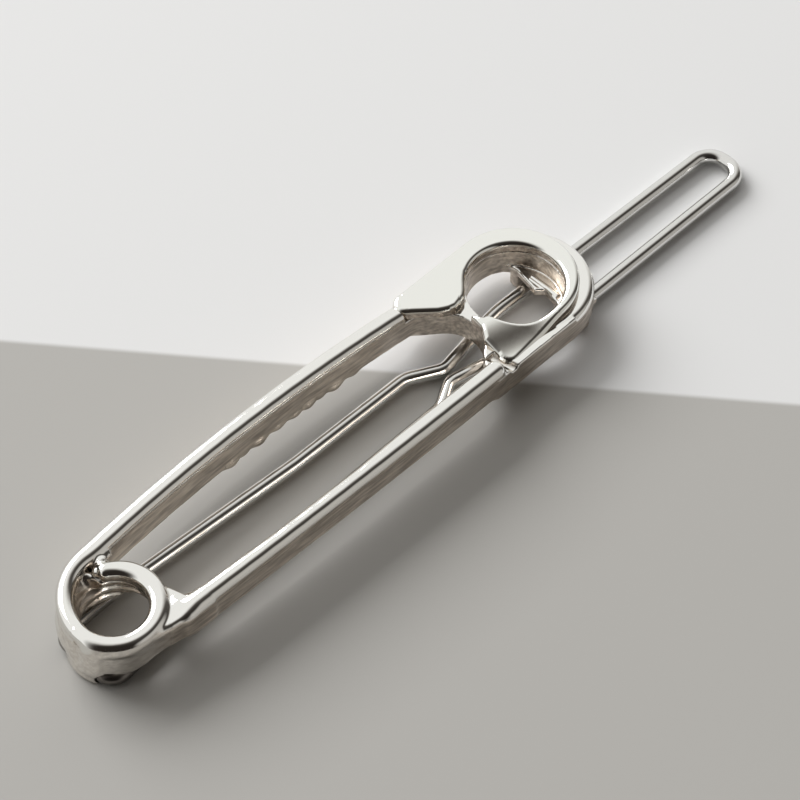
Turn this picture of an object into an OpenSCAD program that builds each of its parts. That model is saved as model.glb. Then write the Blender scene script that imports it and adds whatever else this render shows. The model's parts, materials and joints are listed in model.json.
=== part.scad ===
// Safety-pin hair clip: a cast frame in the outline of a closed safety pin, a cover cap on its
// head, and a bent spring-wire clasp that hinges in the coil end and closes under the head.
// X runs along the clip from the coil to the wire loop, Y across it towards the back arm and
// Z up from the surface that the clip lies on.

/* [Frame] */
// Distance from the middle of the coil to the middle of the head eye
span = 43.4; // [36:0.1:60]
// Height of the arms' rounded tops above the surface
frame_top = 5; // [4.6:0.1:6]
// Width of both arms
arm_w = 1.35; // [0.9:0.05:1.5]
// Height of the arms' walls
arm_h = 3.4; // [2.5:0.1:3.9]
// Radius of the arms' rounded top edges
arm_round = 0.45; // [0.2:0.05:0.45]
// Farthest reach of the back arm's outer side from the coil's middle
back_reach = 6.45; // [5.6:0.05:7]
// Radius of the back arm's long bow
bow_r = 165; // [120:5:260]
// Reach of the pin arm's outer side where it leaves the coil
pin_reach_coil = 4.4; // [4.1:0.05:4.8]
// Reach of the pin arm's outer side at the head
pin_reach_head = 5.25; // [4.8:0.05:5.5]
// Sag of the pin arm's slight bow
pin_sag = 0.14; // [0.05:0.01:0.5]

/* [Coil] */
// Diameter of the coil's bore
coil_bore = 5.2; // [4:0.1:6]
// Width of the coil's band
coil_band = 1.35; // [1.1:0.05:1.6]
// Number of turns that the coil imitates
turns = 3; // [2:1:3]
// Height of one turn
turn_h = 1; // [0.6:0.05:1]
// Half the width of the end lug that carries the hinge
lug_half_w = 2.1; // [1.8:0.05:2.3]
// How far the lug's outer side stands out from the back arm's
lug_proud = 0.3; // [0.2:0.05:0.5]
// Wall between the hinge hole and the lug's outer side
lug_wall = 0.5; // [0.4:0.05:0.6]
// How far the lower turns stand back from the top one
turn_step = 0.2; // [0.1:0.05:0.3]

/* [Head] */
// Diameter of the round eye in the head
eye_d = 8; // [7:0.1:8.4]
// Height of the head's underside above the surface
head_under = 1.55; // [1.5:0.05:2]
// Height of the step on which the cap lies
cap_seat = 4.1; // [3.6:0.05:4.3]
// Thickness of the cap
cap_t = 1; // [0.7:0.05:1.4]
// Mean width of the head's round body outside the eye
body_rim = 1.65; // [1.5:0.05:2]
// Distance of the round body's middle beyond the eye's middle
body_shift = 1.2; // [0.8:0.05:1.5]
// Mean width of the cap's rim round the eye
cap_rim = 1.3; // [1.15:0.05:1.45]
// Height of the catch bar across the far side of the eye
bar_h = 0.9; // [0.5:0.05:1.4]

/* [Clasp] */
// Diameter of the spring wire
wire_d = 1.2; // [0.9:0.05:1.3]
// Running clearance of the wire ends in their holes, all round
hinge_gap = 0.04; // [0.02:0.01:0.08]
// Height of the wire's middle above the surface
wire_z = 0.7; // [0.7:0.01:0.78]
// Length of the wire loop beyond the head's round body
loop_reach = 18.95; // [12:0.1:24]
// Clear gap between the wire's legs and the two jaws of the catch
jaw_gap = 0.25; // [0.2:0.01:0.4]
// Radius of the bends where the legs turn into the hinge
end_bend = 0.75; // [0.7:0.05:0.8]

/* [Hidden] */
$fn = 96;
// Overrun of every cut past the face that it opens
cut = 0.2;
// How far a splice between two lengths of the casting lies under their surfaces
inset = 0.04;

coil_in = coil_bore / 2;
coil_out = coil_in + coil_band;
coil_h = turns * turn_h;
coil_under = frame_top - coil_h;
arm_under = frame_top - arm_h;
eye_r = eye_d / 2;
wire_r = wire_d / 2;
cap_top = cap_seat + cap_t;
body_r = eye_r + body_rim;
cap_r = eye_r + cap_rim;
body_x = span + body_shift;

// The back arm's outer side: a long bow, and the smaller bow by which it flows into the coil
bow_x_share = 0.4;
bow_c = [span * bow_x_share, back_reach - bow_r];
flow_turn = 175;
flow_dir = -[cos(flow_turn), sin(flow_turn)];
bow_rest = bow_r - coil_out;
flow_out = (bow_rest * bow_rest - bow_c * bow_c) / (2 * (bow_rest - flow_dir * bow_c));
flow_c = flow_out * flow_dir;
flow_r = coil_out + flow_out;
flow_to_bow = flow_c - bow_c;
join_angle = atan2(flow_to_bow[1], flow_to_bow[0]);

// The lug follows the flow, and the hinge runs across the clip in it
lug_r = flow_r + lug_proud;
lug_end = lug_r - flow_c[0];
hole_r = wire_r + hinge_gap;
hinge_x = lug_wall + hole_r - lug_end;
foot_wall = lug_wall * 1.7;
loop_end = body_x + body_r + loop_reach;

// The part's own middle in plan, so that the clip stands centred on its origin
mid_x = (loop_end - lug_end) / 2;
mid_y = (back_reach - body_r) / 2;

// The pin arm's outer side, as a bow through two ends with a sag
pin_x0 = coil_out * 0.8;
pin_x1 = span - eye_r * 1.62;
pin_run = [pin_x1 - pin_x0, pin_reach_coil - pin_reach_head];
pin_chord = norm(pin_run);
pin_r = (pin_chord * pin_chord / 4 + pin_sag * pin_sag) / (2 * pin_sag);
pin_tilt = atan2(pin_run[1], pin_run[0]);
pin_half = asin(pin_chord / 2 / pin_r);
pin_mid = [(pin_x0 + pin_x1) / 2, -(pin_reach_coil + pin_reach_head) / 2];
pin_c = pin_mid + (pin_r - pin_sag) * [-sin(pin_tilt), cos(pin_tilt)];

// Points along an arc
function arc_points(c, r, a0, a1, n = 24) =
    [for (i = [0:n]) c + r * [cos(a0 + (a1 - a0) * i / n), sin(a0 + (a1 - a0) * i / n)]];

// Points given in shares of the eye's radius, measured from the eye's middle
function by_eye(shares) = [for (p = shares) [span, 0] + eye_r * p];

// The part's frame: moves the coil-centred drawing so that the clip is centred in plan
module centred() {
    translate([-mid_x, -mid_y, 0]) children();
}

// Section of an arm: an upright strip with rounded top edges
module strip_section(w, z0, z1, r) {
    translate([0, z0]) square([w, z1 - z0 - r]);
    translate([r, z1 - 2 * r]) square([w - 2 * r, 2 * r]);
    for (x = [r, w - r]) translate([x, z1 - r]) circle(r);
}

// An arm's wall along an arc, its outer side at radius r
module arc_wall(c, r, a0, a1, w, z0, z1) {
    translate([c[0], c[1], 0])
        rotate([0, 0, a0])
            rotate_extrude(angle = a1 - a0, $fn = 360)
                translate([r - w, 0]) strip_section(w, z0, z1, arm_round);
}

// A short splice where two lengths of an arm meet, a little inside both: its middle lies at
// radius r from c in direction a, and it runs square to that direction
module splice(c, r, a, z0) {
    translate([c[0], c[1], 0]) rotate([0, 0, a]) translate([r - arm_w / 2, 0, 0])
        rotate([90, 0, 0]) linear_extrude(arm_w, center = true)
            translate([inset - arm_w / 2, 0])
                strip_section(arm_w - 2 * inset, z0 + inset, frame_top - inset, arm_round);
}

// Direction from the long bow's middle to its point at x
function bow_angle(x) = acos((x - bow_c[0]) / bow_r);

// The back arm: a low end under the cap's broad lobe, the long bow, and the flow into the coil
module back_arm() {
    lobe_x = span + eye_r * (lobe_c_share[0] - lobe_r_share);
    rest_angle = bow_angle(lobe_x - inset);
    low_from = bow_angle(lobe_x + eye_r);
    translate([bow_c[0], bow_c[1], 0]) rotate([0, 0, low_from])
        rotate_extrude(angle = bow_angle(lobe_x - arm_w) - low_from, $fn = 360)
            translate([bow_r - arm_w + inset, arm_under + inset])
                square([arm_w - 2 * inset, cap_seat - arm_under - 2 * inset]);
    arc_wall(bow_c, bow_r, rest_angle, join_angle - inset, arm_w, arm_under, frame_top);
    splice(bow_c, bow_r, join_angle, coil_under);
    arc_wall(flow_c, flow_r, join_angle + 1, flow_turn - 1, arm_w, coil_under, frame_top);
    splice(flow_c, flow_r, flow_turn, coil_under);
}

// The row of small teeth that keeps the back arm from slipping in the hair
tooth_count = 8;
tooth_share = [0.39, 0.67];
tooth_r = arm_w / 3;
module grip_teeth() {
    for (i = [0:tooth_count - 1]) {
        x = span * (tooth_share[0] + (tooth_share[1] - tooth_share[0]) * i / (tooth_count - 1));
        a = bow_angle(x);
        p = bow_c + (bow_r - arm_w) * [cos(a), sin(a)];
        translate([p[0], p[1], arm_under])
            rotate([0, 0, a])
                translate([arm_w / 2, 0, 0]) rotate([0, 90, 0])
                    cylinder(h = arm_w - 2 * inset, r = tooth_r, center = true, $fn = 24);
    }
}

// The pin arm, with a rounded end that stops short of the cap's small lobe
module pin_arm() {
    translate([pin_c[0], pin_c[1], 0]) rotate([0, 0, 270 + pin_tilt - pin_half])
        rotate_extrude(angle = 2 * pin_half, $fn = 720)
            translate([pin_r - arm_w, 0]) strip_section(arm_w, arm_under, frame_top, arm_round);
    end_turn = 270 + pin_tilt + pin_half;
    end_c = pin_c + (pin_r - arm_w / 2) * [cos(end_turn), sin(end_turn)];
    end_r = arm_w / 2 - inset;
    translate([end_c[0], end_c[1], 0]) rotate_extrude($fn = 48)
        intersection() {
            translate([-end_r, 0])
                strip_section(2 * end_r, arm_under + inset, frame_top - inset, arm_round);
            translate([0, arm_under]) square([arm_w, arm_h]);
        }
}

// Section of one lower turn, its inner edges bevelled so that a groove lies between the turns
groove_d = turn_h * 0.14;
module turn_section(h) {
    polygon([
        [groove_d, 0],
        [0, groove_d],
        [0, turn_h - groove_d],
        [groove_d, turn_h],
        [groove_d, h],
        [coil_band - turn_step, h],
        [coil_band - turn_step, 0]]);
}

// The coil: whole lower turns, and a top turn that starts where the back arm flows in and ends
// where it tucks against that arm's inner side
turn_end = 445;
module coil() {
    rotate_extrude() translate([coil_in, coil_under])
        for (i = [0:turns - 2])
            translate([0, turn_h * i]) turn_section(turn_h + inset);
    arc_wall([0, 0], coil_out, flow_turn + 1, turn_end, coil_band, frame_top - turn_h, frame_top);
}

// The end lug: a skirt outside the coil, and a thick foot that reaches down to the surface and
// carries the hinge
module lug() {
    intersection() {
        translate([flow_c[0], flow_c[1], 0]) difference() {
            cylinder(h = frame_top - turn_h, r = lug_r);
            translate([0, 0, coil_under]) cylinder(h = coil_h, r = flow_r - arm_w / 2);
            translate([0, 0, -cut])
                cylinder(h = coil_h + coil_under, r = lug_r - foot_wall - 2 * hole_r);
        }
        translate([-2 * coil_out, -lug_half_w, 0])
            cube([2 * coil_out, 2 * lug_half_w, frame_top]);
    }
}

// The cross hole for the wire's two ends
module hinge_hole() {
    translate([hinge_x, 0, wire_z]) rotate([90, 0, 0])
        cylinder(h = 2 * coil_out, r = hole_r, center = true, $fn = 64);
}

// Where the coil's end tucks against the back arm, and where the pin arm leaves the coil
module coil_joins() {
    tuck_r = arm_w * 0.55;
    tuck = [coil_out * 0.36, coil_out * 1.02];
    translate([tuck[0], tuck[1], coil_under])
        cylinder(h = coil_h - arm_round * 0.7, r = tuck_r, $fn = 32);
    neck = [pin_x0, -(pin_reach_coil - arm_w * 0.72)];
    translate([neck[0], neck[1], coil_under])
        cylinder(h = coil_h - arm_round / 2, r = arm_w * 0.7, $fn = 32);
}

// The window's round end at the head, in plan, in shares of the eye's radius
window_c_share = [-1.975, 0];
window_r_share = 0.75;
window_shares = [[-6, -1.05], [-6, 1.18], [-2.22, 1.18], [-1.49, 0.57]];
window_foot_share = [-1.95, -1.05];
module window_end() {
    polygon(concat(
        by_eye(window_shares),
        arc_points([span, 0] + eye_r * window_c_share, eye_r * window_r_share, 50, -60),
        by_eye([window_foot_share])));
}

// Plan of the head's body: a round disc and the block that the arms run into
head_x_share = -2.25;
module head_plan() {
    translate([body_x, 0]) circle(body_r);
    head_x = span + eye_r * head_x_share;
    back_y = bow_c[1] + sqrt(bow_r * bow_r - pow(head_x - bow_c[0], 2));
    polygon([
        [head_x, back_y - arm_w / 2],
        [span + eye_r * -1.9, body_r],
        [body_x, body_r],
        [body_x, -body_r],
        [pin_x1 - arm_w, arm_w / 6 - pin_reach_head],
        [head_x, arm_w / 2 - pin_reach_head]]);
}

// The head's body with its eye, under the cap
module head_body() {
    difference() {
        intersection() {
            translate([0, 0, head_under]) linear_extrude(cap_seat - head_under) head_plan();
            head_shoulder();
        }
        translate([0, 0, -cut]) linear_extrude(cap_top + 2 * cut) window_end();
        translate([span, 0, -cut]) cylinder(h = cap_top + 2 * cut, r = eye_r);
    }
}

// Rounds the outer top edge of the disc
shoulder_r = 0.6;
module head_shoulder() {
    translate([body_x, 0, 0]) rotate_extrude() {
        square([body_r - shoulder_r, cap_seat]);
        square([body_r, cap_seat - shoulder_r]);
        translate([body_r - shoulder_r, cap_seat - shoulder_r]) circle(shoulder_r);
    }
    translate([span - eye_r * 3, -back_reach, 0])
        cube([eye_r * 3 + body_shift, 2 * back_reach, cap_seat]);
}

// The catch: a bar across the eye's far side, and two jaws that stand beside the wire's legs
bar_x = span + eye_r * 0.7;
jaw_w = arm_w * 0.7;
jaw_l = arm_w;
module catch() {
    intersection() {
        translate([bar_x, -body_r, head_under]) cube([eye_r, 2 * body_r, bar_h]);
        translate([span, 0, 0]) cylinder(h = cap_top, r = eye_r + arm_w / 3);
    }
    translate([bar_x, leg_y_back + wire_r + jaw_gap, 0]) cube([jaw_l, jaw_w, head_under + bar_h]);
    translate([bar_x, leg_y_pin - wire_r - jaw_gap - jaw_w, 0])
        cube([jaw_l, jaw_w, head_under + bar_h]);
}

module frame() {
    color("#c9c9c6") centred() difference() {
        union() {
            back_arm();
            grip_teeth();
            pin_arm();
            coil();
            lug();
            coil_joins();
            head_body();
            catch();
        }
        hinge_hole();
    }
}

// Plan of the cap: a C round the eye, with a broad lobe over the back arm's end and a small one
// over the pin arm's end, in shares of the eye's radius from the eye's middle
cap_c_share = [0.3, 0.37];
lobe_c_share = [-1.925, 1.19];
lobe_r_share = 0.26;
lobe_edge_shares = [[-1.2, 0.415], [-1.425, 0.485], [-1.675, 0.665], [-2.12, 1.08]];
foot_c_share = [-1.2, -1.04];
foot_r_share = 0.24;
mouth_shares = [[-1.3, 0.06], [-0.8, 0.06], [-0.8, 0.46], [-1.3, 0.46]];
module cap_plan() {
    cap_c = [span, 0] + cap_rim * cap_c_share;
    lobe_c = [span, 0] + eye_r * lobe_c_share;
    foot_c = [span, 0] + eye_r * foot_c_share;
    difference() {
        union() {
            translate(cap_c) circle(cap_r);
            translate(lobe_c) circle(eye_r * lobe_r_share);
            polygon(concat(
                [lobe_c, lobe_c + [0, eye_r * lobe_r_share - inset / 4]],
                [cap_c + [0, cap_r], cap_c],
                by_eye(lobe_edge_shares)));
            polygon(concat(
                arc_points([span, 0] + eye_r * window_c_share, eye_r * window_r_share, 0, -50, 12),
                arc_points(foot_c, eye_r * foot_r_share, 180, 275, 8),
                [cap_c + [0, -cap_r], cap_c]));
        }
        translate([span, 0]) circle(eye_r);
        polygon(by_eye(mouth_shares));
    }
}

// The cap, its top edge rounded in three steps
cap_step_shares = [[0, 0.62], [0.13, 0.84], [0.34, 1]];
module head_cap() {
    color("#dededb") centred()
        for (i = [0:len(cap_step_shares) - 1]) {
            z0 = i == 0 ? 0 : cap_step_shares[i - 1][1];
            translate([0, 0, cap_seat + cap_t * z0])
                linear_extrude(cap_t * (cap_step_shares[i][1] - z0))
                    offset(delta = -cap_t * cap_step_shares[i][0]) cap_plan();
        }
}

// The clasp's route in plan, from the back leg's end in the lug, round the loop and back
leg_y_back = 0.32 * eye_r;
leg_y_pin = -0.73 * eye_r;
hinge_y = lug_half_w + end_bend + wire_r / 6;
pin_tip = lug_half_w * 0.6;
bend_long = 10 * wire_d;
bend_kink = 2 * wire_d;
bend_waist = 1.3 * wire_d;
loop_bend = 1.45 * wire_d;
function wire_route() = [
    [[hinge_x, pin_tip + wire_r / 2], 0],
    [[hinge_x, hinge_y], end_bend],
    [[span * 0.046, hinge_y + wire_r * 0.28], bend_long],
    [[span * 0.47, eye_r * 0.475], bend_long],
    [[span * 0.747, eye_r * 0.43], bend_kink],
    [[span * 0.815, eye_r * 0.03], bend_waist],
    [[span * 0.98, leg_y_back], bend_long],
    [[loop_end - wire_r, eye_r * 0.16], loop_bend],
    [[loop_end - wire_r, -eye_r * 0.81], loop_bend],
    [[span * 1.1, -eye_r * 0.77], bend_long],
    [[span * 0.98, leg_y_pin], bend_long],
    [[span * 0.8, -eye_r * 0.27], bend_waist],
    [[span * 0.747, -eye_r * 0.6], bend_kink],
    [[span * 0.32, -eye_r * 0.63], bend_long],
    [[pin_x0, arm_w + wire_r * 1.3 - pin_reach_coil], bend_long],
    [[hinge_x, -hinge_y], end_bend],
    [[hinge_x, -pin_tip - wire_r / 2], 0]];

// How far before a corner its bend starts
function bend_back(p, q, s, r) =
    let (u = (q - p) / norm(q - p), v = (s - q) / norm(s - q))
    r * tan(acos(min(1, u * v)) / 2);

// Points round a bend of middle radius r at corner q, between the lines from p and to s
function bend_points(p, q, s, r) =
    let (
        u = (q - p) / norm(q - p),
        v = (s - q) / norm(s - q),
        turn = atan2(u[0] * v[1] - u[1] * v[0], u * v),
        side = turn > 0 ? 1 : -1,
        c = q - u * bend_back(p, q, s, r) + side * r * [-u[1], u[0]],
        start = atan2(-side * u[0], side * u[1]))
    arc_points(c, r, start, start + turn, max(2, ceil(abs(turn) / 10)));

// The whole route of the wire's middle line, its bends rounded
function wire_points() =
    let (w = wire_route(), last = len(w) - 1)
    [for (i = [0:last]) each (i == 0 || i == last) ? [w[i][0]]
        : bend_points(w[i - 1][0], w[i][0], w[i + 1][0], w[i][1])];

// A round wire swept along points in plan
wire_sides = 16;
module swept_wire(points, r) {
    last = len(points) - 1;
    rings = [for (k = [0:last])
        let (
            t = points[min(k + 1, last)] - points[max(k - 1, 0)],
            n = [-t[1], t[0]] / norm(t))
        for (j = [0:wire_sides - 1])
            let (a = 360 * (j + 0.5) / wire_sides)
            [points[k][0] + r * cos(a) * n[0], points[k][1] + r * cos(a) * n[1], r * sin(a)]];
    walls = [for (k = [0:last - 1]) for (j = [0:wire_sides - 1])
        let (
            a = k * wire_sides + j,
            b = k * wire_sides + (j + 1) % wire_sides)
        each [[a, a + wire_sides, b + wire_sides], [a, b + wire_sides, b]]];
    ends = [[for (j = [0:wire_sides - 1]) j],
        [for (j = [0:wire_sides - 1]) last * wire_sides + wire_sides - 1 - j]];
    polyhedron(points = rings, faces = concat(walls, ends));
}

// The clasp, with its two turned-in ends as round pins
module wire_clasp() {
    color("#aeb0b2") centred() translate([0, 0, wire_z]) {
        swept_wire(wire_points(), wire_r);
        for (side = [-1, 1])
            translate([hinge_x, side * pin_tip, 0]) rotate([-90 * side, 0, 0])
                cylinder(h = hinge_y - end_bend * 0.9 - pin_tip, r = wire_r, $fn = 64);
    }
}

frame();
head_cap();
wire_clasp();
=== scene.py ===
"""Safety-pin hair clip, bright plated: its looks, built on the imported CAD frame. Metres, Z up."""
import json

import bpy
import numpy as np
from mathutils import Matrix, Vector


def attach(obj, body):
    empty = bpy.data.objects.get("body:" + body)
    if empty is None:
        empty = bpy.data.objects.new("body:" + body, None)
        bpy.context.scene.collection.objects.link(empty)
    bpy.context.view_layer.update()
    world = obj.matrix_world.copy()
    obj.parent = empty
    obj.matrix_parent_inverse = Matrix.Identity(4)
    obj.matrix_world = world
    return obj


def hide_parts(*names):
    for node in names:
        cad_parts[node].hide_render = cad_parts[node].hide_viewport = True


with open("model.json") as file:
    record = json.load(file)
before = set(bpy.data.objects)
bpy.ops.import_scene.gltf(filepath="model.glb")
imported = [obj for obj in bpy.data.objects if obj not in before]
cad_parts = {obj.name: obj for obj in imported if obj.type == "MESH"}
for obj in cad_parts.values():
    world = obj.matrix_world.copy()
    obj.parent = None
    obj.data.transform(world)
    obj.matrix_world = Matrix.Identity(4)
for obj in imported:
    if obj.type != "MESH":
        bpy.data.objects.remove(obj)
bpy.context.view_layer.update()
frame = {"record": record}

# Camera: a long lens looking down at 52 degrees.
# The clip runs up to the right, and its coil is nearest to the camera.
TARGET = Vector((-0.00138, 0.0005, 0.0))
CAMERA_AT = Vector((-0.09991, -0.09599, 0.1765))
LENS, SENSOR = 126.0, 36.0
cam_data = bpy.data.cameras.new("camera")
cam_data.sensor_width = SENSOR
cam_data.lens = LENS
cam_data.clip_start = 0.01
camera = bpy.data.objects.new("camera", cam_data)
bpy.context.scene.collection.objects.link(camera)
camera.location = CAMERA_AT
camera.rotation_euler = (TARGET - CAMERA_AT).to_track_quat("-Z", "Y").to_euler()
bpy.context.scene.camera = camera
bpy.context.scene.view_settings.view_transform = "Standard"


# Table: a plain pale sheet of paper, big enough to fill every reflection.
# It is a warm grey on the camera's side and white beyond a straight line across under the clip.
def linear(code):
    """sRGB hex to linear RGBA: each share c becomes c/12.92, or ((c+0.055)/1.055)^2.4 above 0.04."""
    c = np.array([int(code[i:i + 2], 16) for i in (1, 3, 5)]) / 255
    c = np.where(c <= 0.04045, c / 12.92, ((c + 0.055) / 1.055) ** 2.4)
    return (*c.tolist(), 1.0)


def add(tree, kind, links=None, **settings):
    """Adds a node, sets its properties or sockets by name, and links the sockets named in links."""
    node = tree.nodes.new("ShaderNode" + kind)
    for name, value in settings.items():
        name = name.replace("_", " ") if not hasattr(node, name) else name
        if hasattr(node, name):
            setattr(node, name, value)
        else:
            node.inputs[name].default_value = value
    for name, source in (links or {}).items():
        tree.links.new(source, node.inputs[name])
    return node


def material(name):
    """An empty node material with its output, ready for a shader."""
    mat = bpy.data.materials.new(name)
    mat.use_nodes = True
    mat.node_tree.nodes.clear()
    return mat, mat.node_tree, add(mat.node_tree, "OutputMaterial")


NEAR_COLOUR, FAR_COLOUR = "#b6b4b0", "#e6e6e6"
FAR_WAY = Vector((0.782, 0.623, 0.0))
FADE = (0.0017, 0.0023)
HALF_TABLE = 1.5
# Matt paper: no shine, only its shade, which eases from one grey to the other within FADE.
paper, tree, out = material("plain_pale_paper")
place = add(tree, "TexCoord").outputs["Object"]
distance = add(tree, "VectorMath", {0: place}, operation="DOT_PRODUCT")
distance.inputs[1].default_value = FAR_WAY
fade = add(tree, "MapRange", {"Value": distance.outputs["Value"]}, interpolation_type="SMOOTHSTEP")
fade.inputs["From Min"].default_value = FADE[0]
fade.inputs["From Max"].default_value = FADE[1]
shade = add(tree, "MixRGB", {"Fac": fade.outputs[0]}, Color1=linear(NEAR_COLOUR),
            Color2=linear(FAR_COLOUR))
matt = add(tree, "BsdfPrincipled", {"Base Color": shade.outputs[0]}, Roughness=0.9)
tree.links.new(matt.outputs[0], out.inputs[0])
corners = [(x * HALF_TABLE, y * HALF_TABLE, 0.0) for x, y in ((-1, -1), (1, -1), (1, 1), (-1, 1))]
mesh = bpy.data.meshes.new("table")
mesh.from_pydata(corners, [], [(0, 1, 2, 3)])
mesh.materials.append(paper)
table = bpy.data.objects.new("table", mesh)
bpy.context.scene.collection.objects.link(table)

# Light: a bright room behind the clip, a dark one on the camera's side, and a soft lamp.
# Mirror plating shows only what is round it: the bright half makes the flat tops white, and the
# dark half draws the lines along their rounded edges, with a paler glow low on the right.

# ROOM gives greys from -Y, at 0, to +Y, at 1. In SIDES, the camera's side and low on the right,
# another grey takes over between two cosines of the angle to that side.
ROOM = ((0.3, "#403d3a"), (0.43, "#56524e"), (0.5, "#a4a19d"), (0.58, "#dcdbd8"), (0.66, "#f4f4f2"))
SIDES = (((-0.64, -0.64, 0.42), 0.5, 0.92, "#2a2623"), ((0.44, -0.88, 0.15), 0.72, 0.93, "#b9b6b1"))
world = bpy.data.worlds.new("studio")
bpy.context.scene.world = world
world.use_nodes = True
tree = world.node_tree
tree.nodes.clear()
out = add(tree, "OutputWorld")
way = add(tree, "TexCoord").outputs["Generated"]
back = add(tree, "SeparateXYZ", {"Vector": way}).outputs["Y"]
depth = add(tree, "MapRange", {"Value": back})
depth.inputs["From Min"].default_value = -1.0
room = add(tree, "ValToRGB", {"Fac": depth.outputs[0]})
for i, (place, grey) in enumerate(ROOM):
    stop = room.color_ramp.elements[i] if i < 2 else room.color_ramp.elements.new(place)
    stop.position = place
    stop.color = linear(grey)
light = room.outputs[0]
for side, start, end, grey in SIDES:
    towards = add(tree, "VectorMath", {0: way}, operation="DOT_PRODUCT")
    towards.inputs[1].default_value = side
    share = add(tree, "MapRange", {"Value": towards.outputs["Value"]},
                interpolation_type="SMOOTHSTEP")
    share.inputs["From Min"].default_value = start
    share.inputs["From Max"].default_value = end
    mixed = add(tree, "MixRGB", {"Fac": share.outputs[0], "Color1": light}, Color2=linear(grey))
    light = mixed.outputs[0]
lit = add(tree, "Background", {"Color": light}, Strength=1.0)
# The camera itself sees plain white past the table.
seen = add(tree, "Background", Color=linear(FAR_COLOUR), Strength=1.0)
eye_ray = add(tree, "LightPath").outputs["Is Camera Ray"]
both = add(tree, "MixShader", {0: eye_ray, 1: lit.outputs[0], 2: seen.outputs[0]})
tree.links.new(both.outputs[0], out.inputs[0])

LAMP_AT = Vector((0.0, 1.02, 0.66))
LAMP_SIZE, LAMP_WATTS = (1.0, 0.65), 15.0
lamp_data = bpy.data.lights.new("soft_lamp", "AREA")
lamp_data.shape = "RECTANGLE"
lamp_data.size, lamp_data.size_y = LAMP_SIZE
lamp_data.energy = LAMP_WATTS
lamp = bpy.data.objects.new("soft_lamp", lamp_data)
bpy.context.scene.collection.objects.link(lamp)
lamp.location = LAMP_AT
lamp.rotation_euler = (-LAMP_AT).to_track_quat("-Z", "Y").to_euler()

# Cast frame: two arms, the coil, its end lug and the head's body, one zinc-alloy casting.
# It is polished and silver plated, every joint softly blended, so it is worked out as a field,
# the distance in mm to the metal, measured from the middle of the coil (the record's bore).
MM = 0.001
COIL = next(m for m in frame["record"]["mounts"] if m["name"] == "coil_eye")["pos_m"]
COIL = np.array([COIL[0] / MM, COIL[1] / MM, 0.0])
TOP = 5.0                                       # the arms' and the top turn's upper side
FLOW_W, BACK_W = 1.38, 1.68                     # widths of the back arm at the coil and beyond
COIL_UNDER, BACK_UNDER, PIN_UNDER = 2.0, 1.95, 2.05     # undersides at the coil and of the arms
EDGE, LOW_EDGE = 0.7, 0.2                       # how round the arms' upper and lower edges are
BOW_C, BOW_R = np.array([17.36, -158.55]), 165.0        # circle of the back arm's outer side
FLOW_C, FLOW_R = np.array([1.9076, -0.1669]), 5.8649    # the same where it flows into the coil
PIN_C, PIN_R = np.array([45.6678, 1013.05]), 1018.7     # circle of the pin arm's outer side
PIN_X = (3.0, 35.95)                            # the pin arm's two ends
BORE_R, RING_R, TURN_R = 2.6, 3.95, 3.72        # the coil's bore, its top turn and its lower turns
EYE, EYE_R = np.array([43.4, 0.0]), 4.0
HEAD_UNDER, HEAD_TOP = 1.55, 4.1
HINGE_X, WIRE_Z, HOLE_R = -3.11729, 0.7, 0.64   # the cross hole in the lug


def merge(a, b, k):
    """Union with a fillet: min(a, b) less h*h*k/4, h being how close a and b are in shares of k."""
    h = np.maximum(k - np.abs(a - b), 0) / k
    return np.minimum(a, b) - h * h * k / 4


def cut(a, b, k):
    """a without b, with a rounded edge: the merge of their negatives, negated."""
    return -merge(-a, b, k)


def both_of(a, b, k):
    """The space in both a and b, with a rounded edge."""
    return -merge(-a, -b, k)


def ease(t):
    """0 below 0, 1 above 1, and 3tt - 2ttt between."""
    t = np.clip(t, 0, 1)
    return t * t * (3 - 2 * t)


def within(t, low, high, fade):
    """0 outside low and high, and 1 inside them from the fade's length on."""
    return ease((t - low) / fade) * ease((high - t) / fade)


def ring_gap(x, y, c, r):
    """Distance in plan from the circle of radius r about c, negative inside it."""
    return np.hypot(x - c[0], y - c[1]) - r


def strip(u, z, w, z0, z1, r_top, r_low=0.12):
    """Distance from an upright strip: u across it, w wide, from z0 to z1. Its edges are rounded,
    because it is a rectangle that is smaller by r on every side, grown by r."""
    r = np.where(z > (z0 + z1) / 2, r_top, r_low)
    a = np.abs(u) - w / 2 + r
    b = np.abs(z - (z0 + z1) / 2) - (z1 - z0) / 2 + r
    return np.minimum(np.maximum(a, b), 0) + np.hypot(np.maximum(a, 0), np.maximum(b, 0)) - r


def slab(plan, z, z0, z1, r_top, r_low=0.12):
    """Distance from a plate with that outline in plan, from z0 to z1, its edges rounded: a strip
    so wide that only its outer side counts."""
    wide = 12
    return strip(plan + wide / 2, z, wide, z0, z1, r_top, r_low)


def ball(x, y, z, c, r):
    """Distance from a ball of radius r about c."""
    return np.sqrt((x - c[0]) ** 2 + (y - c[1]) ** 2 + (z - c[2]) ** 2) - r


def past(x, y, degrees, c=(0.0, 0.0)):
    """How far a point lies past the line from c in that direction, anticlockwise."""
    a = np.radians(degrees)
    return (y - c[1]) * np.cos(a) - (x - c[0]) * np.sin(a)


def polygon(x, y, points):
    """Signed distance in plan from a polygon: the nearest side's distance, negative inside."""
    best = np.full(np.shape(x), 1e9)
    inside = np.zeros(np.shape(x), bool)
    for (ax, ay), (bx, by) in zip(points, np.roll(points, -1, axis=0)):
        ex, ey, px, py = bx - ax, by - ay, x - ax, y - ay
        t = np.clip((px * ex + py * ey) / (ex * ex + ey * ey), 0, 1)
        best = np.minimum(best, (px - ex * t) ** 2 + (py - ey * t) ** 2)
        turns = (ay > y) != (by > y)
        inside ^= turns & (px < ex * py / (ey if ey else 1e-9))
    return np.where(inside, -1, 1) * np.sqrt(best)


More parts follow.
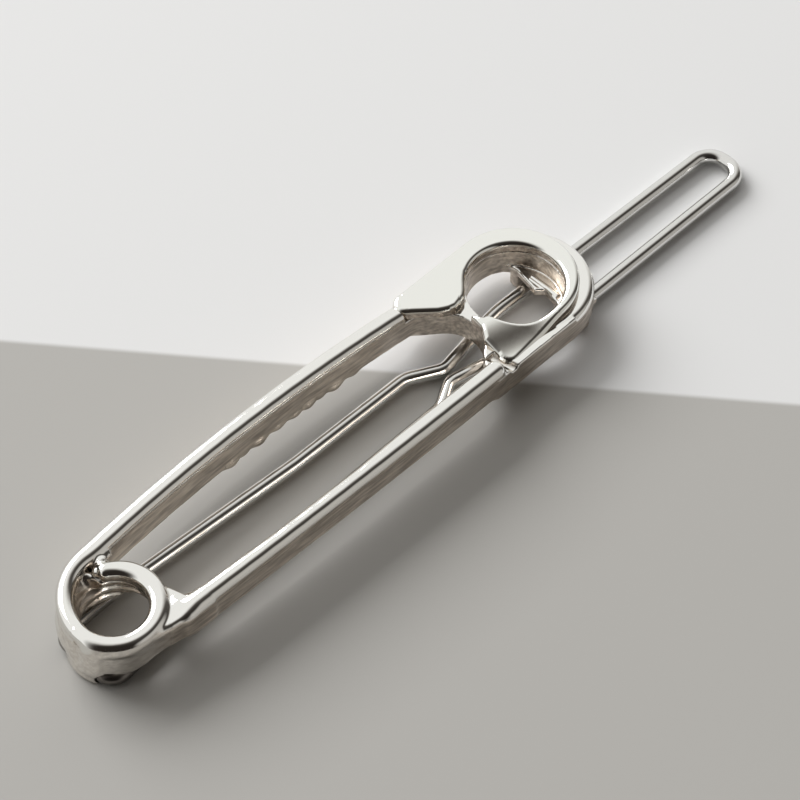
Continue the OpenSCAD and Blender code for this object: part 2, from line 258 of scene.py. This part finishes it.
def arc(c, r, a0, a1, n=14):
    """Points of an arc about c from a0 to a1 degrees."""
    a = np.radians(np.linspace(a0, a1, n))
    return [(c[0] + r * np.cos(t), c[1] + r * np.sin(t)) for t in a]


def back_arm(x, y, z):
    """The long bow and the flow into the coil as one strip: across it, the distance from one
    circle on each side of the line where they meet. Under the cap it goes on lower."""
    meet, flow_end, full_end, low_end, inset = 95.572, 177, 34.72, 38.4, 0.06
    beyond = ease((x + 1) / 4)
    w = FLOW_W + (BACK_W - FLOW_W) * beyond
    middle = w / 2 + inset * beyond
    u = np.where(past(x, y, meet, FLOW_C) > 0, ring_gap(x, y, FLOW_C, FLOW_R),
                 ring_gap(x, y, BOW_C, BOW_R)) + middle
    under = COIL_UNDER + (BACK_UNDER - COIL_UNDER) * ease((x - 1.5) / 3)
    full = both_of(strip(u, z, w, under, TOP, EDGE, LOW_EDGE), x - full_end, 0.12)
    low = np.maximum(strip(u, z, w, BACK_UNDER, HEAD_TOP - 0.02, 0.12), x - low_end)
    return np.maximum(np.minimum(full, low), past(x, y, flow_end, FLOW_C))


PIN_W_X, PIN_W = (8, 13, 21, 26), (1.6, 1.48, 1.5, 1.64)


def pin_arm(x, y, z):
    """The straighter arm, slightly slimmer in its middle, its far end a round dome and its near
    end sloping down into the web."""
    w = np.interp(x, PIN_W_X, PIN_W)
    u = np.hypot(ring_gap(x, y, PIN_C, PIN_R) + w / 2, np.maximum(x - PIN_X[1], 0))
    under = COIL_UNDER + (PIN_UNDER - COIL_UNDER) * ease((x - 4) / 3)
    top = TOP - 0.5 * (1 - ease((x - 2.4) / 2.2))
    return both_of(strip(u, z, w, under, top, EDGE, LOW_EDGE), PIN_X[0] - x, 0.6)


def inner_flow(turn):
    """Distance from the coil's middle, in a direction, to the inner side of the back arm's flow:
    the far root of the quadratic for a line through a circle about another middle."""
    a = np.radians(turn)
    b = np.cos(a) * FLOW_C[0] + np.sin(a) * FLOW_C[1]
    return b + np.sqrt(np.maximum(b * b - FLOW_C @ FLOW_C + (FLOW_R - FLOW_W) ** 2, 0))


TURN_AT = (-180, -150, -120, -90, -60, -25, 17, 42, 64, 88, 108, 135, 180)
TURN_UNDER = (1.4, 1.4, 1.4, 2.0, 3.0, 3.3, 2.86, 1.92, 1.48, 1.6, 2.2, 2.4, 1.4)


def coil(x, y, z):
    """The top turn as a bead that ends against the back arm, over lower turns whose bore is
    ridged like wound wire and widens to the back arm's inner side where that arm flows in.
    TURN_UNDER is the height of the lower turns' underside at the directions TURN_AT."""
    begins, ends, bead_h, bead_edge, wall_top = 68, 175, 1.3, 0.64, 4.12
    pitch, groove_depth = 0.97, 0.2
    r = np.hypot(x, y)
    turn = np.degrees(np.arctan2(y, x))
    gone = (turn - ends) % 360
    ring = RING_R + 0.2 * ease(gone / 80) * ease((265 - gone) / 60)
    bead = strip(r - (BORE_R + ring) / 2, z, ring - BORE_R, TOP - bead_h, TOP, bead_edge, 0.6)
    bead = both_of(bead, np.minimum(past(x, y, begins), -past(x, y, ends) - 0.5), 0.5)
    phase = (z - 4.24) / pitch + (turn - 38) / 400
    groove = np.clip(1 - 2.2 * np.abs(phase - np.round(phase)), 0, 1) ** 2 * ease((128 - turn) / 14)
    widen = ease((turn - begins) / 22) * (turn < ends + 1)
    flow = inner_flow(turn)
    bore = BORE_R + (flow - BORE_R) * widen * ease((z - 2.7) / 1.4) + groove_depth * groove
    outer = np.maximum(TURN_R, flow + 0.4) * widen + TURN_R * (1 - widen)
    under = np.interp(turn, TURN_AT, TURN_UNDER)
    wall = strip(r - (bore + outer) / 2, z, outer - bore, under, wall_top, 0.3, LOW_EDGE)
    return np.minimum(bead, wall)


def lug(x, y, z):
    """The end lug: a skirt that follows the flow, thicker below, fading out towards its sides, a
    hood over the wire's bend, and the outer wall that goes on round the coil to the pin arm."""
    rho = np.hypot(x - FLOW_C[0], y - FLOW_C[1])
    proud = 0.265 * (1 - ease(np.abs(y + 0.2) / 3)) * (1 - ease((z - 1.6) / 2))
    inner = 4.8 - 0.8 * (1 - ease((z - 1.7) / 0.6)) - rho
    ring = both_of(rho - FLOW_R - proud, inner, 0.2)
    box = both_of(np.abs(y) - 2.1, np.abs(z - 1.9) - 1.9, 0.5)
    foot = both_of(np.maximum(both_of(ring, box, 0.4), x), -z, 0.1)
    bend_c, bend_r, hood_w = (-1.817, 1.65), 0.92, 2.1
    hood = strip(ring_gap(x, y, bend_c, bend_r), z, hood_w, 1.36, 3.4, 0.3, 0.1)
    foot = merge(foot, np.maximum(hood, 4.6 - rho), 0.3)
    wall_r, wall_w, wall_from, wall_to = 3.55, 1.1, 195, 305
    turn = np.degrees(np.arctan2(y, x)) % 360
    under = 1.4 + 0.5 * ease((turn - 235) / 40) + 0.8 * ease((turn - 275) / 30)
    wall = strip(np.hypot(x, y) - wall_r, z, wall_w, under, 4.4, 0.5, 0.25)
    wall = both_of(wall, np.maximum(-past(x, y, wall_from), past(x, y, wall_to)), 0.5)
    return merge(foot, wall, 0.9)


WEB = [(3.75, -0.7), (4.15, -1.5), (4.55, -2.75), (6.2, -3.6), (5.6, -4.85), (3.4, -4.75),
       (1.9, -4.55), (0.4, -4.15), (1.5, -2.5), (3.0, -1.5)]
KNOB, KNOB_R = (3.5, -3.1, 4.3), 0.45
SEAM = (((1.35, 3.35, 4.2), 0.4), ((2.15, 3.85, 4.25), 0.42), ((2.9, 4.05, 4.1), 0.4))


def joins(x, y, z):
    """The web that carries the pin arm at the coil, with a small knob, and the lumpy seam at the
    top turn's end: three beads of metal on a low fill."""
    web = slab(polygon(x, y, WEB), z, 2.2, 4.6, 0.5, 0.3)
    web = merge(web, ball(x, y, z, KNOB, KNOB_R), 0.4)
    squash = 0.9
    seam = ball(x, y, z * squash, (1.9, 3.45, 3.5 * squash), 0.85)
    for middle, r in SEAM:
        seam = merge(seam, ball(x, y, z, middle, r), 0.4)
    return web, seam


SHOULDER_C, SHOULDER_R = (44.6, 0.0), 5.65
HEAD_PLAN = [(34.4, 4.87), (35.8, 5.65), (44.6, 5.65), (44.6, -5.65), (35.72, -5.55), (34.4, -4.9)]
WINDOW = [(19.4, -4.2), (19.4, 4.72), (34.52, 4.72), (37.44, 2.28), *arc((35.5, 0.0), 3.0, 50, -60),
          (35.6, -4.2)]
CATCH = [(45.6, 4.4), (46.15, 2.2), (45.6, -0.3), (46.2, -0.9), (45.9, -2.4), (45.0, -4.4),
         (48.6, -4.4), (48.6, 4.4)]


def head(x, y, z):
    """The head's body: a disc with a rounded shoulder and the block that the arms run into,
    less the window's round end, the eye and a collar's groove at the pin arm's end, with the
    catch bar and its ridge across the eye's far side."""
    plan = ring_gap(x, y, SHOULDER_C, SHOULDER_R)
    disc = slab(plan, z, HEAD_UNDER, HEAD_TOP, 0.6, 0.15)
    body = merge(disc, slab(polygon(x, y, HEAD_PLAN), z, HEAD_UNDER, HEAD_TOP, 0.15), 0.1)
    body = cut(body, polygon(x, y, WINDOW), 0.15)
    eye = ring_gap(x, y, EYE, EYE_R)
    body = cut(body, eye, 0.1)
    collar = np.hypot(x - 37.2 + 0.25 * (y + 4.4), (z - 4.3) * 0.8) - 0.5
    body = cut(body, np.maximum(collar, y + 3.3), 0.15)
    bar_z, bar_half, ridge_x, ridge_r = 1.95, 0.4, 46.42, 0.22
    bar = both_of(polygon(x, y, CATCH), np.abs(z - bar_z) - bar_half, 0.2)
    ridge = np.hypot(x - ridge_x, z - bar_z - bar_half) - ridge_r
    ridge = np.maximum(ridge, np.maximum(np.abs(y + 0.6) - 1.5, eye))
    return merge(body, merge(bar, ridge, 0.15), 0.2)


def jaws(x, y, z):
    """Two small jaws under the head, beside the wire's legs, each a box with soft edges."""
    jaw_x, jaw_y, half_x, half_y, half_z, soft = 46.86, (2.61, -4.25), 0.66, 0.48, 1.2, 0.2
    beside = np.minimum(np.abs(y - jaw_y[0]), np.abs(y - jaw_y[1])) - half_y
    plan = both_of(np.abs(x - jaw_x) - half_x, beside, soft)
    return both_of(plan, np.abs(z - half_z) - half_z, soft)


def teeth(x, y, z):
    """Uneven bumps on the back arm's lower inner edge, balls drawn out along it, each a little
    different in its place and size by a sine of its number."""
    count, first, pitch, longer, inset, far = 9, 16.4, 1.62, 1.5, 0.22, 9.0
    best = np.full(np.shape(x), far)
    for i in range(count):
        cx = first + pitch * i + 0.35 * np.sin(5.1 * i)
        side = BOW_C[1] + np.sqrt((BOW_R - BACK_W) ** 2 - (cx - BOW_C[0]) ** 2)
        rad = 0.36 + 0.1 * np.sin(3.7 * i + 1)
        bump = ball((x - cx) / longer, y, z, (0, side + inset, BACK_UNDER), rad)
        best = np.minimum(best, bump)
    return best


def casting(x, y, z):
    """The whole casting: its parts merged with fillets, less the hinge's hole with its flared
    mouths and the room for the wire's leg beside the lug, with the ripple of hand polishing,
    and flat at the side y = flat_y."""
    web, seam = joins(x, y, z)
    body = np.minimum(back_arm(x, y, z), coil(x, y, z))
    body = merge(body, merge(pin_arm(x, y, z), web, 0.5), 0.2)
    body = merge(body, lug(x, y, z), 0.5)
    body = merge(body, seam, 0.25)
    body = merge(body, head(x, y, z), 0.3)
    body = merge(body, jaws(x, y, z), 0.2)
    body = merge(body, teeth(x, y, z), 0.45)
    flare = 0.3 * ease((np.abs(y) - 1.5) / 0.9)
    hole = np.maximum(np.hypot(x - HINGE_X, z - WIRE_Z) - HOLE_R - flare, np.abs(y) - 3.4)
    body = cut(body, hole, 0.12)
    leg = np.maximum(np.maximum(y + 2.13, z - 1.37), x - 2.5)
    body = cut(body, leg, 0.08)
    ripple_h = 0.006
    ripple = np.sin(1.3 * x + 0.7 * z) * np.sin(1.1 * y - 1.7 * z) + np.sin(2.9 * x - 2.1 * y) * 0.5
    body = body + ripple_h * (ripple + 1.5)
    flat_y = -5.64
    return np.maximum(np.maximum(body, -z), flat_y - y)


def slope(field, p, h=0.012):
    """The field's direction of steepest rise at points p, as unit vectors, and its slope there, by
    differences over 2h."""
    g = np.stack([field(*(p + h * e).T) - field(*(p - h * e).T) for e in np.eye(3)], 1)
    return g / np.maximum(np.linalg.norm(g, axis=1, keepdims=True), 1e-9), g / (2 * h)


def skin(field, low, high, step):
    """The surface where a field is zero. Each grid cell that it crosses gets one point, the mean
    of the crossings on the cell's edges, and each crossed edge joins its four cells by a face.
    The points are then moved along the field's slope on to the surface."""
    low = np.array(low, float)
    n = np.ceil((np.array(high) - low) / step).astype(int) + 1
    axes = [low[i] + step * np.arange(n[i]) for i in range(3)]
    value = field(*np.meshgrid(*axes, indexing="ij"))
    cells = n - 1
    total = np.zeros((4, int(np.prod(cells))))
    faces = []
    for k in range(3):
        a = np.take(value, range(n[k] - 1), k)
        b = np.take(value, range(1, n[k]), k)
        at = np.argwhere((a < 0) != (b < 0))
        va, vb = a[tuple(at.T)], b[tuple(at.T)]
        spot = at + np.eye(3)[k] * (va / (va - vb))[:, None]
        i, j = (k + 1) % 3, (k + 2) % 3
        four = []
        for di, dj in ((0, 0), (1, 0), (1, 1), (0, 1)):
            cell = at.copy()
            cell[:, i] -= di
            cell[:, j] -= dj
            index = np.ravel_multi_index(cell.T, cells)
            for m in range(3):
                total[m] += np.bincount(index, spot[:, m], total.shape[1])
            total[3] += np.bincount(index, None, total.shape[1])
            four.append(index)
        four = np.stack(four, 1)
        faces.append(np.where((va < 0)[:, None], four, four[:, ::-1]))
    used = np.flatnonzero(total[3])
    number = np.zeros(total.shape[1], int)
    number[used] = np.arange(len(used))
    points = low + step * (total[:3, used] / total[3, used]).T
    faces = number[np.concatenate(faces)]
    for _ in range(4):
        normal, raw = slope(field, points)
        d = field(*points.T) / np.maximum(np.linalg.norm(raw, axis=1), 0.5)
        points = points - normal * np.clip(d, -step / 2, step / 2)[:, None]
    return points, faces, slope(field, points, 0.02)[0]


def shelter(field, points, normal, reach):
    """How sheltered each point is, 0 in the open and 1 deep in a recess: what the field falls
    short of the distance gone along the normal, at the distances in reach."""
    lost = sum(np.clip(1 - field(*(points + normal * d).T) / d, 0, 1) for d in reach)
    return lost / len(reach)


def piece(name, points, faces, mat, normal=None, **attributes):
    """A mesh object with smooth shading from points in mm about the coil, faces and attributes."""
    mesh = bpy.data.meshes.new(name)
    mesh.from_pydata((points + COIL) * MM, [], faces)
    mesh.materials.append(mat)
    mesh.shade_smooth()
    for key, value in attributes.items():
        mesh.attributes.new(key, "FLOAT", "POINT").data.foreach_set("value", value.astype(np.float32))
    if normal is not None:
        mesh.normals_split_custom_set_from_vertices(normal)
    obj = bpy.data.objects.new(name, mesh)
    bpy.context.scene.collection.objects.link(obj)
    return obj


def plated(name, bright, wall, warm, rough, wall_rough, ripple_mm, ripple):
    """Plating over a base metal: mirror bright where it is rubbed, and where the mesh's attribute
    wall is 1 a darker, duller skin between the colours wall and warm. That darker skin is partly the
    casting's real unpolished skin and partly painted shade, put on upright faces and in recesses.
    It has blotches of half a millimetre and, along the clip, streaks 0.3 mm wide and eight times
    as long. Real polishing streaks are finer; these are as coarse as they need to be to show."""
    mat, tree, out = material(name)
    place = add(tree, "TexCoord").outputs["Object"]
    skin_and_painted_shade = add(tree, "Attribute", attribute_name="wall").outputs["Fac"]
    blotch_mm, streak_mm, lift_mm = 0.5, 0.3, 0.02
    mottle = add(tree, "TexNoise", {"Vector": place}, Scale=1 / (blotch_mm * MM), Detail=3.0,
                 Roughness=0.6)
    along = add(tree, "Mapping", {"Vector": place})
    along.inputs["Scale"].default_value = (0.12, 1.0, 1.0)
    streak = add(tree, "TexNoise", {"Vector": along.outputs[0]}, Scale=1 / (streak_mm * MM),
                 Detail=3.0)
    sharper = add(tree, "MapRange", {"Value": streak.outputs["Fac"]})
    sharper.inputs["From Min"].default_value = 0.32
    sharper.inputs["From Max"].default_value = 0.68
    mixed = add(tree, "MixRGB", {"Fac": sharper.outputs[0]}, Color1=linear(wall),
                Color2=linear(warm))
    blotch = add(tree, "MixRGB", {"Fac": mottle.outputs["Fac"], "Color1": mixed.outputs[0]},
                 blend_type="SOFT_LIGHT", Color2=linear("#8c8c8c"))
    # Partly painted shade: the darker skin colours go where the attribute wall is high, on upright
    # faces and in recesses.
    base = add(tree, "MixRGB", {"Fac": skin_and_painted_shade, "Color2": blotch.outputs[0]},
               Color1=linear(bright))
    dull = add(tree, "MapRange", {"Value": skin_and_painted_shade})
    dull.inputs["To Min"].default_value = rough
    dull.inputs["To Max"].default_value = wall_rough
    wave = add(tree, "TexNoise", {"Vector": place}, Scale=1 / (ripple_mm * MM), Detail=2.0)
    rub = add(tree, "Math", {0: sharper.outputs[0], 1: skin_and_painted_shade}, operation="MULTIPLY")
    relief = add(tree, "Math", {0: wave.outputs["Fac"], 1: rub.outputs[0]}, operation="ADD")
    bump = add(tree, "Bump", {"Height": relief.outputs[0]}, Strength=ripple, Distance=lift_mm * MM)
    metal = add(tree, "BsdfPrincipled", {"Base Color": base.outputs[0], "Roughness": dull.outputs[0],
                                         "Normal": bump.outputs[0]}, Metallic=1.0)
    tree.links.new(metal.outputs[0], out.inputs[0])
    return mat


OPEN = 0.28


def upright(normal, recess_shade, start=OPEN):
    """How much of the darker skin a point gets: all of it where the surface stands upright or
    hangs over, and in sheltered places, and none where the normal's height is over start. On
    upright faces it is partly the real cast skin and partly painted shade; in recesses it is painted
    shade."""
    steep = ease((start - normal[:, 2]) / 0.22)
    return np.maximum(steep, ease((recess_shade - 0.3) / 0.4))


# Silver plating: the mopped surfaces are mirrors; the walls keep the casting's fine streaks and are
# darker, partly as their real duller skin and partly as painted shade.
casting_metal = plated("silver_plated_zinc_casting", bright="#f1f0ec", wall="#c0b6ac", warm="#f4ebe0",
                       rough=0.07, wall_rough=0.3, ripple_mm=0.9, ripple=0.3)
CAST_LOW, CAST_HIGH, CAST_CELL = (-4.6, -6.0, -0.2), (50.6, 6.7, 5.3), 0.13
points, faces, normal = skin(casting, CAST_LOW, CAST_HIGH, CAST_CELL)
# Painted shade: how sheltered each point is, so that recesses get the darker skin.
recess_shade = shelter(casting, points, normal, (0.3, 0.7, 1.3, 2.2))
x, y, z = points.T
radius, turn = np.hypot(x, y), np.degrees(np.arctan2(y, x)) % 360
# The row of teeth is dull as well. The side of the top turn towards the camera gets the darker
# # skin further up, as a painted dark reflection, and the bore gets it as painted shade. The lug gets
# # only half as much of it.
toothed = within(x, 14.5, 31, 1.5) * ease((3.4 - z) / 0.6) * (y > 0)
camera_side_shade = ease((radius - 3.3) / 0.3) * within(turn, 195, 310, 15) * (x < 4)
bore_shade = (radius < 4.2) * (z < 3.9) * within(turn, 66, 195, 10)
on_lug = ease((2.5 - x) / 3) * ease((radius - 3.2) / 0.4)
dull_and_shaded_share = upright(normal, recess_shade, OPEN + 0.4 * camera_side_shade)
dull_and_shaded_share = np.maximum(dull_and_shaded_share, np.maximum(toothed, bore_shade)) * (1 - 0.5 * on_lug)
cast = piece("cast_frame", points, faces, casting_metal, normal, wall=dull_and_shaded_share)
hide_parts("frame")
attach(cast, "frame_body")

# Head cap: a smooth cover plate, C-shaped round the eye, pressed and silver plated.
# Its broad lobe covers the back arm's end; its small lobe, the foot, bends down over the pin
# arm's end. Between the two it is open, from the window to the eye.
CAP_TOP = 5.1
CAP_C, CAP_R = (43.79, 0.48), 5.3
LOBE_C, LOBE_R = (35.7, 4.76), 1.04
LOBE = [LOBE_C, (35.7, 5.79), (43.79, 5.78), (43.79, 3.8), (41.37, 3.45), (40.4, 2.62),
        (39.45, 1.92), (38.9, 1.64), (38.3, 1.56), (37.7, 1.7), (36.9, 2.24), (34.92, 4.08)]
FOOT = [(38.42, 0.3), (38.2, -1.15), (37.5, -2.2), *arc((38.3, -4.16), 0.96, 150, 275, 8),
        (43.79, -4.82), (43.79, -1.0)]
MOUTH = [(37.0, 1.9), (38.3, 1.5), (39.45, 1.86), (40.4, 2.56), (41.4, 3.4), (43.4, 2.0),
         (43.4, -1.5), (39.0, -0.62), (38.44, 0.3), (37.2, 0.6)]


def cap(x, y, z):
    """A plate with a soft edge: its plan's distance and its height, rounded together. The small
    lobe is lowered by an eased ramp towards its tip."""
    plan = np.minimum(ring_gap(x, y, CAP_C, CAP_R), ring_gap(x, y, LOBE_C, LOBE_R))
    plan = merge(plan, polygon(x, y, LOBE), 0.05)
    plan = merge(plan, polygon(x, y, FOOT), 0.05)
    plan = cut(plan, ring_gap(x, y, EYE, EYE_R), 0.3)
    plan = cut(plan, polygon(x, y, MOUTH), 0.25)
    fall = 0.9
    drop = fall * ease((-y - 1.6 + 0.25 * (41.0 - x)) / 4.2) * ease((44.5 - x) / 4.0)
    return slab(plan, z + drop, HEAD_TOP, CAP_TOP, 0.42, 0.1)


# The same plating as the casting's, smoother, because the plate was rolled before it was pressed.
cap_metal = plated("silver_plated_cover_plate", bright="#f3f3ee", wall="#b8ada2", warm="#ece2d6",
                   rough=0.07, wall_rough=0.22, ripple_mm=1.4, ripple=0.25)
CAP_LOW, CAP_HIGH, CAP_CELL = (34.4, -5.6, 3.0), (49.4, 6.1, 5.3), 0.09
points, faces, normal = skin(cap, CAP_LOW, CAP_HIGH, CAP_CELL)
# Painted shade: as on the casting, the cap's upright faces and recesses get the darker skin.
recess_shade = shelter(cap, points, normal, (0.3, 0.7, 1.3))
cover = piece("cover_cap", points, faces, cap_metal, normal, wall=upright(normal, recess_shade))
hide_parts("head_cap")
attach(cover, "frame_body")

# Clasp: one length of 1.2 mm spring wire, bent to two legs and a loop, and nickel plated.
# Its two turned-in ends are the hinge pins in the lug's cross hole. The route gives its corners
# and the radius of the bend at each.
WIRE_R = 0.6
ROUTE = [((-3.117, 1.7), 0), ((-3.117, 2.95), 1.1), ((1.996, 3.118), 12), ((20.398, 1.9), 12),
         ((32.42, 1.72), 2.4), ((35.371, 0.12), 1.56), ((42.532, 1.28), 12),
         ((68.585, 0.64), 1.74), ((68.585, -3.24), 1.74),
         ((47.74, -3.08), 12), ((42.532, -2.92), 12), ((34.72, -1.08), 1.56), ((32.42, -2.4), 2.4),
         ((13.888, -2.52), 12), ((3.16, -2.32), 12), ((-3.117, -2.95), 1.1), ((-3.117, -1.7), 0)]


def bent(route, step):
    """Points along a route of corners, each turned on an arc of its bend radius that touches
    both of its straights, at about equal steps of arc."""
    path = [np.array(route[0][0])]
    for (p, _), (q, r), (s, _) in zip(route, route[1:], route[2:]):
        p, q, s = (np.array(v, float) for v in (p, q, s))
        u, v = (q - p) / np.linalg.norm(q - p), (s - q) / np.linalg.norm(s - q)
        turn = np.arctan2(u[0] * v[1] - u[1] * v[0], u @ v)
        side = np.sign(turn)
        start = q - u * r * np.tan(abs(turn) / 2)
        centre = start + side * r * np.array([-u[1], u[0]])
        a = np.linspace(0, turn, max(3, int(abs(turn) * r / step) + 2))
        arm = start - centre
        path += list(centre + np.stack([arm[0] * np.cos(a) - arm[1] * np.sin(a),
                                        arm[0] * np.sin(a) + arm[1] * np.cos(a)], 1))
    path.append(np.array(route[-1][0]))
    return np.array(path)


def tube(path, r, sides):
    """A closed round tube: a circle of radius r square to the path at each point, r * (cos a) to
    the side and r * (sin a) up, its last circles smaller and closed by flat faces."""
    way = np.gradient(path, axis=0)
    way /= np.linalg.norm(way, axis=1, keepdims=True)
    side = np.stack([-way[:, 1], way[:, 0], np.zeros(len(way))], 1)
    size = np.full(len(path), r)
    tip = 0.72
    size[[0, -1]] = r * tip
    a = 2 * np.pi * np.arange(sides) / sides
    ring = path[:, None] + size[:, None, None] * (side[:, None] * np.cos(a)[:, None]
                                                 + np.array([0, 0, 1.0]) * np.sin(a)[:, None])
    k, j = np.meshgrid(np.arange(len(path) - 1) * sides, np.arange(sides), indexing="ij")
    after = (j + 1) % sides
    faces = np.stack([k + j, k + sides + j, k + sides + after, k + after], -1).reshape(-1, 4)
    last = len(path) * sides
    ends = [list(range(sides)), list(range(last - 1, last - sides - 1, -1))]
    return ring.reshape(-1, 3), [*faces.tolist(), *ends]


STEP, SIDES_ROUND = 0.12, 40
plan = bent(ROUTE, STEP)
tips = np.array([[HINGE_X, 1.25], [HINGE_X, 1.35]])
plan = np.vstack([tips, plan, (tips * (1, -1))[::-1]])
path = np.column_stack([plan, np.full(len(plan), WIRE_Z)])
points, faces = tube(path, WIRE_R, SIDES_ROUND)
# Nickel plating, bright along the legs and the loop. Its dark colours are painted shade: the wire
# takes them near the hinge, more on the camera's side.
wire_metal = plated("nickel_plated_spring_wire", bright="#e0dfdc", wall="#5d5752", warm="#6f6862",
                    rough=0.12, wall_rough=0.3, ripple_mm=1.6, ripple=0.3)
# Painted shade: darker towards the hinge end, and darker on the camera's side (y < 0).
hinge_shade = ease((2.6 - points[:, 0]) / 1.2) * np.where(points[:, 1] > 0, 0.65, 0.9)
wire = piece("clasp_wire", points, faces, wire_metal, wall=hinge_shade)
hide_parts("wire_clasp")
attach(wire, "clasp")
